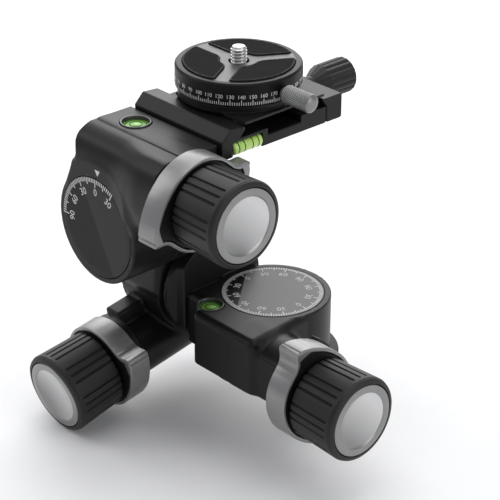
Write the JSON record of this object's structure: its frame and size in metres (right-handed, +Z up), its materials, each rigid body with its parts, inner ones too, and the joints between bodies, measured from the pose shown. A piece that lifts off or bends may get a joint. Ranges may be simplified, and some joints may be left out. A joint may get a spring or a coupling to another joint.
{
  "type": "geared tripod head",
  "caption": "Three-axis geared camera tripod head with fluted drive knobs, release levers, bubble levels, a screw clamp and a turning top plate.",
  "frame": {"origin": "centre of the base plate's underside, where the tripod's screw enters", "axes": "+Z up along the pan axis; +X the way the pan and tilt knobs point; -Y the way the roll knob points; roll axis along X, tilt axis along Y"},
  "size_m": [0.1386, 0.1348, 0.1495],
  "materials": {
    "black_metal": "fine satin black powder coat over cast aluminium",
    "black_knob": "matt black moulded grip",
    "lever_grey": "satin grey anodised band",
    "cap_grey": "silver rim round a dished grey face",
    "dial_grey": "satin grey with printed graduations",
    "bright_steel": "bright plated steel",
    "steel": "plain turned steel",
    "bronze": "turned bronze",
    "pad_rubber": "matt black ribbed rubber",
    "level_fluid": "clear vial with yellow-green liquid"
  },
  "bodies": {
    "base": {"base_plate": "black_metal", "socket_bush": "steel", "pan_wheel": "bronze", "pan_axle": "steel", "pan_dial": "dial_grey"},
    "pan_body": {"pan_housing": "black_metal", "pan_sleeve": "bronze", "pan_level_ring": "black_metal", "pan_level_vial": "level_fluid", "roll_wheel": "bronze", "roll_axle": "steel", "roll_dial": "black_metal"},
    "pan_drive": {"pan_worm": "steel", "pan_knob": "black_knob", "pan_knob_cap": "cap_grey"},
    "pan_release": {"pan_lever": "lever_grey", "pan_lever_hub": "black_metal"},
    "roll_body": {"roll_housing": "black_metal", "roll_sleeve": "bronze", "tilt_wheel": "bronze", "tilt_axle": "steel", "tilt_dial": "black_metal"},
    "roll_drive": {"roll_worm": "steel", "roll_knob": "black_knob", "roll_knob_cap": "cap_grey"},
    "roll_release": {"roll_lever": "lever_grey", "roll_lever_hub": "black_metal"},
    "tilt_body": {"tilt_housing": "black_metal", "tilt_sleeve": "bronze", "tilt_level_ring": "black_metal", "tilt_level_vial": "level_fluid", "clamp_body": "black_metal", "clamp_bolt_1": "steel", "clamp_bolt_2": "steel", "clamp_vial": "level_fluid", "guide_rod_1": "steel", "guide_rod_2": "steel"},
    "tilt_drive": {"tilt_worm": "steel", "tilt_knob": "black_knob", "tilt_knob_cap": "cap_grey"},
    "tilt_release": {"tilt_lever": "lever_grey", "tilt_lever_hub": "black_metal"},
    "jaw": {"clamp_jaw": "black_metal"},
    "jaw_screw": {"clamp_screw": "steel", "clamp_knob": "black_knob"},
    "top_plate": {"plate_base": "black_metal"},
    "rotator": {"top_disc": "black_metal", "pad_1": "pad_rubber", "pad_2": "pad_rubber", "pad_3": "pad_rubber", "camera_screw": "bright_steel"},
    "lock": {"lock_screw": "bright_steel"}
  },
  "joints": [
    {"name": "pan", "type": "hinge", "parent": "base", "child": "pan_body", "pos_m": [0, 0, 0], "axis": [0, 0, 1], "continuous": true},
    {"name": "pan_knob_turn", "type": "hinge", "parent": "pan_body", "child": "pan_drive", "pos_m": [0, -0.0218, 0.0128], "axis": [1, 0, 0], "continuous": true},
    {"name": "pan_release_turn", "type": "hinge", "parent": "pan_body", "child": "pan_release", "pos_m": [0, -0.0218, 0.0128], "axis": [1, 0, 0], "range_deg": [0, 20], "stiffness_Nm_per_rad": 0.25},
    {"name": "roll", "type": "hinge", "parent": "pan_body", "child": "roll_body", "pos_m": [0, -0.0082, 0.0265], "axis": [-1, 0, 0], "range_deg": [-30, 90]},
    {"name": "roll_knob_turn", "type": "hinge", "parent": "roll_body", "child": "roll_drive", "pos_m": [-0.0453, -0.00441, 0.00503], "axis": [0, -0.9848, -0.1736], "range_deg": [-1080, 3240]},
    {"name": "roll_release_turn", "type": "hinge", "parent": "roll_body", "child": "roll_release", "pos_m": [-0.0453, -0.00441, 0.00503], "axis": [0, -0.9848, -0.1736], "range_deg": [0, 20], "stiffness_Nm_per_rad": 0.25},
    {"name": "tilt", "type": "hinge", "parent": "roll_body", "child": "tilt_body", "pos_m": [-0.0358, 0, 0.0642], "axis": [0, -1, 0], "range_deg": [-30, 90]},
    {"name": "tilt_knob_turn", "type": "hinge", "parent": "tilt_body", "child": "tilt_drive", "pos_m": [0, -0.0448, 0.086], "axis": [1, 0, 0], "range_deg": [-3240, 1080]},
    {"name": "tilt_release_turn", "type": "hinge", "parent": "tilt_body", "child": "tilt_release", "pos_m": [0, -0.0448, 0.086], "axis": [1, 0, 0], "range_deg": [0, 20], "stiffness_Nm_per_rad": 0.25},
    {"name": "jaw_slide", "type": "slide", "parent": "tilt_body", "child": "jaw", "axis": [0, 1, 0], "range_m": [0, 0.004]},
    {"name": "jaw_screw_turn", "type": "hinge", "parent": "jaw", "child": "jaw_screw", "pos_m": [-0.0195, 0, 0.1004], "axis": [0, 1, 0], "range_deg": [0, 1440]},
    {"name": "plate_slide", "type": "slide", "parent": "tilt_body", "child": "top_plate", "axis": [1, 0, 0], "range_m": [-0.01, 0.01]},
    {"name": "disc_turn", "type": "hinge", "parent": "top_plate", "child": "rotator", "pos_m": [-0.0219, 0.0019, 0.115], "axis": [0, 0, 1], "continuous": true},
    {"name": "lock_turn", "type": "hinge", "parent": "rotator", "child": "lock", "pos_m": [0, 0.0019, 0.1144], "axis": [1, 0, 0], "range_deg": [0, 180]}
  ],
  "couplings": [
    {"joint": "pan_knob_turn", "follows": "pan", "ratio": 36},
    {"joint": "roll_knob_turn", "follows": "roll", "ratio": 36},
    {"joint": "tilt_knob_turn", "follows": "tilt", "ratio": -36},
    {"joint": "jaw_screw_turn", "follows": "jaw_slide", "rad_per_m": 6283.2}
  ]
}
